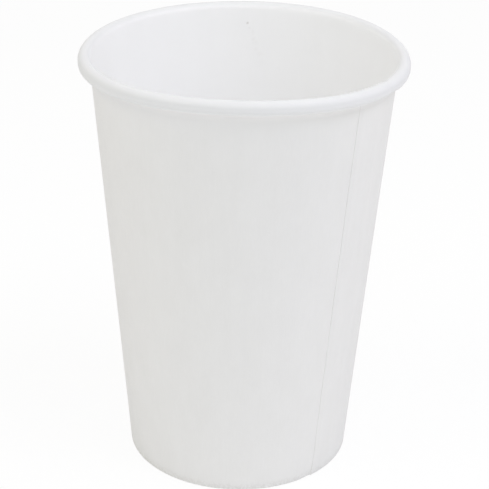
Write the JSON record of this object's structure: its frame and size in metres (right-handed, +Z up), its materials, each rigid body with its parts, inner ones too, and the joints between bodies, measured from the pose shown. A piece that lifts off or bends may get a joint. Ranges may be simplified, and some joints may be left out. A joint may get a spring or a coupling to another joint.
{
  "type": "paper coffee cup",
  "caption": "Plain white disposable cup for hot drinks: tapered paperboard wall with a lapped side seam and a rolled rim, and a recessed base disc.",
  "frame": {"origin": "centre of the foot ring, on the surface that the cup stands on", "axes": "+Z up along the cup's axis, towards the rim; the side seam lies between +X and -Y"},
  "size_m": [0.09, 0.09, 0.121],
  "materials": {
    "wall_board": "matte",
    "base_board": "matte"
  },
  "bodies": {
    "root": {"side_wall": "wall_board", "base_disc": "base_board"}
  },
  "joints": []
}
